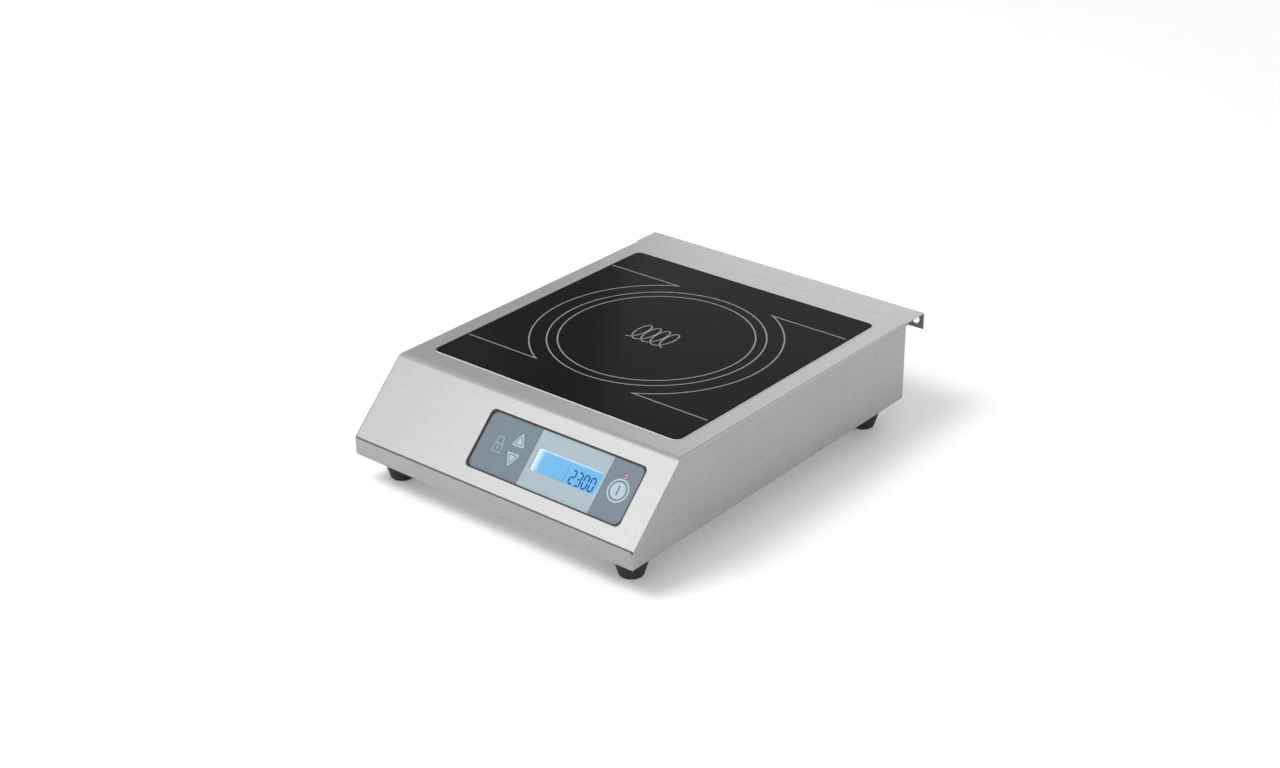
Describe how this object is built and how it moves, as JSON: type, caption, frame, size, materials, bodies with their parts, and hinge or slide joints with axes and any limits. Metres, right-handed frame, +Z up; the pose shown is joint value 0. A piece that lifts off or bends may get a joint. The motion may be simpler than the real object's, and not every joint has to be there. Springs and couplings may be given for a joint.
{
  "type": "induction hob",
  "caption": "Countertop induction hob: stainless casing, sloped control panel with keys and display, flush black glass plate, rubber feet and a rear lip.",
  "frame": {"origin": "under the middle of the hob, on the surface that it stands on", "axes": "+X to the right seen from the control panel, +Y to the rear, +Z up; the sloped panel faces -Y"},
  "size_m": [0.32, 0.424, 0.104],
  "materials": {
    "stainless": "brushed stainless sheet",
    "zinc_steel": "zinc coated sheet steel",
    "screw_steel": "plated steel",
    "ceramic_glass": "black glass ceramic, polished, thin grey print",
    "silicone": "black silicone",
    "foot_rubber": "matte black rubber",
    "mica": "mica sheet",
    "copper_litz": "enamelled copper litz",
    "carrier_plastic": "black moulded plastic",
    "ferrite": "dark grey ferrite",
    "aluminium": "mill finish",
    "sensor_ceramic": "white ceramic",
    "board_green": "green circuit board",
    "chip_black": "black epoxy",
    "capacitor_grey": "grey box capacitor",
    "choke_green": "green coated core with copper wire",
    "terminal_nylon": "natural nylon",
    "fan_plastic": "black moulded plastic",
    "panel_film": "fine textured printed film, blue grey",
    "display_clear": "clear window",
    "lcd_blue": "blue lit display",
    "led_red": "red signal light",
    "ribbon_grey": "grey ribbon cable",
    "lead_jacket": "red silicone sleeve",
    "gland_nylon": "black nylon"
  },
  "bodies": {
    "body": {"housing": "stainless", "rear_panel": "stainless", "base_plate": "zinc_steel", "glass_plate": "ceramic_glass", "glass_seal": "silicone", "glass_frame": "zinc_steel", "cable_gland": "gland_nylon", "insulation_sheet": "mica", "coil_winding": "copper_litz", "coil_carrier": "carrier_plastic", "coil_tray": "aluminium", "temperature_sensor": "sensor_ceramic", "power_board": "board_green", "heat_sink": "aluminium", "igbt": "chip_black", "bridge_rectifier": "chip_black", "resonant_capacitor": "capacitor_grey", "dc_link_capacitor": "capacitor_grey", "filter_choke": "choke_green", "mains_terminal": "terminal_nylon", "fan_frame": "fan_plastic", "control_board": "board_green", "lcd_module": "lcd_blue", "display_window": "display_clear", "panel_overlay": "panel_film", "panel_carrier": "carrier_plastic", "status_led": "led_red", "ribbon_cable": "ribbon_grey", "coil_lead_inner": "lead_jacket", "coil_lead_outer": "lead_jacket", "foot_front_left": "foot_rubber", "foot_front_right": "foot_rubber", "foot_rear_left": "foot_rubber", "foot_rear_right": "foot_rubber", "foot_screw_front_left": "screw_steel", "foot_screw_front_right": "screw_steel", "foot_screw_rear_left": "screw_steel", "foot_screw_rear_right": "screw_steel", "base_screw_front_left": "screw_steel", "base_screw_front_right": "screw_steel", "base_screw_rear_left": "screw_steel", "base_screw_rear_right": "screw_steel", "rear_screw_low_left": "screw_steel", "rear_screw_low_right": "screw_steel", "rear_screw_high_left": "screw_steel", "rear_screw_high_right": "screw_steel", "ferrite_1": "ferrite", "ferrite_2": "ferrite", "ferrite_3": "ferrite", "ferrite_4": "ferrite", "ferrite_5": "ferrite", "ferrite_6": "ferrite", "coil_spring_1": "screw_steel", "coil_spring_2": "screw_steel", "coil_spring_3": "screw_steel"},
    "fan": {"fan_rotor": "fan_plastic"},
    "key_power_pad": {"key_power": "panel_film"},
    "key_up_pad": {"key_up": "panel_film"},
    "key_down_pad": {"key_down": "panel_film"},
    "key_lock_pad": {"key_lock": "panel_film"}
  },
  "joints": [
    {"name": "fan_spin", "type": "hinge", "parent": "body", "child": "fan", "pos_m": [0.085, -0.075, 0.04], "axis": [0, 0, 1], "continuous": true},
    {"name": "key_power_press", "type": "slide", "parent": "body", "child": "key_power_pad", "axis": [0, 0.7007, -0.7134], "range_m": [0, 0.0004], "stiffness_N_per_m": 1500},
    {"name": "key_up_press", "type": "slide", "parent": "body", "child": "key_up_pad", "axis": [0, 0.7007, -0.7134], "range_m": [0, 0.0004], "stiffness_N_per_m": 1500},
    {"name": "key_down_press", "type": "slide", "parent": "body", "child": "key_down_pad", "axis": [0, 0.7007, -0.7134], "range_m": [0, 0.0004], "stiffness_N_per_m": 1500},
    {"name": "key_lock_press", "type": "slide", "parent": "body", "child": "key_lock_pad", "axis": [0, 0.7007, -0.7134], "range_m": [0, 0.0004], "stiffness_N_per_m": 1500}
  ]
}
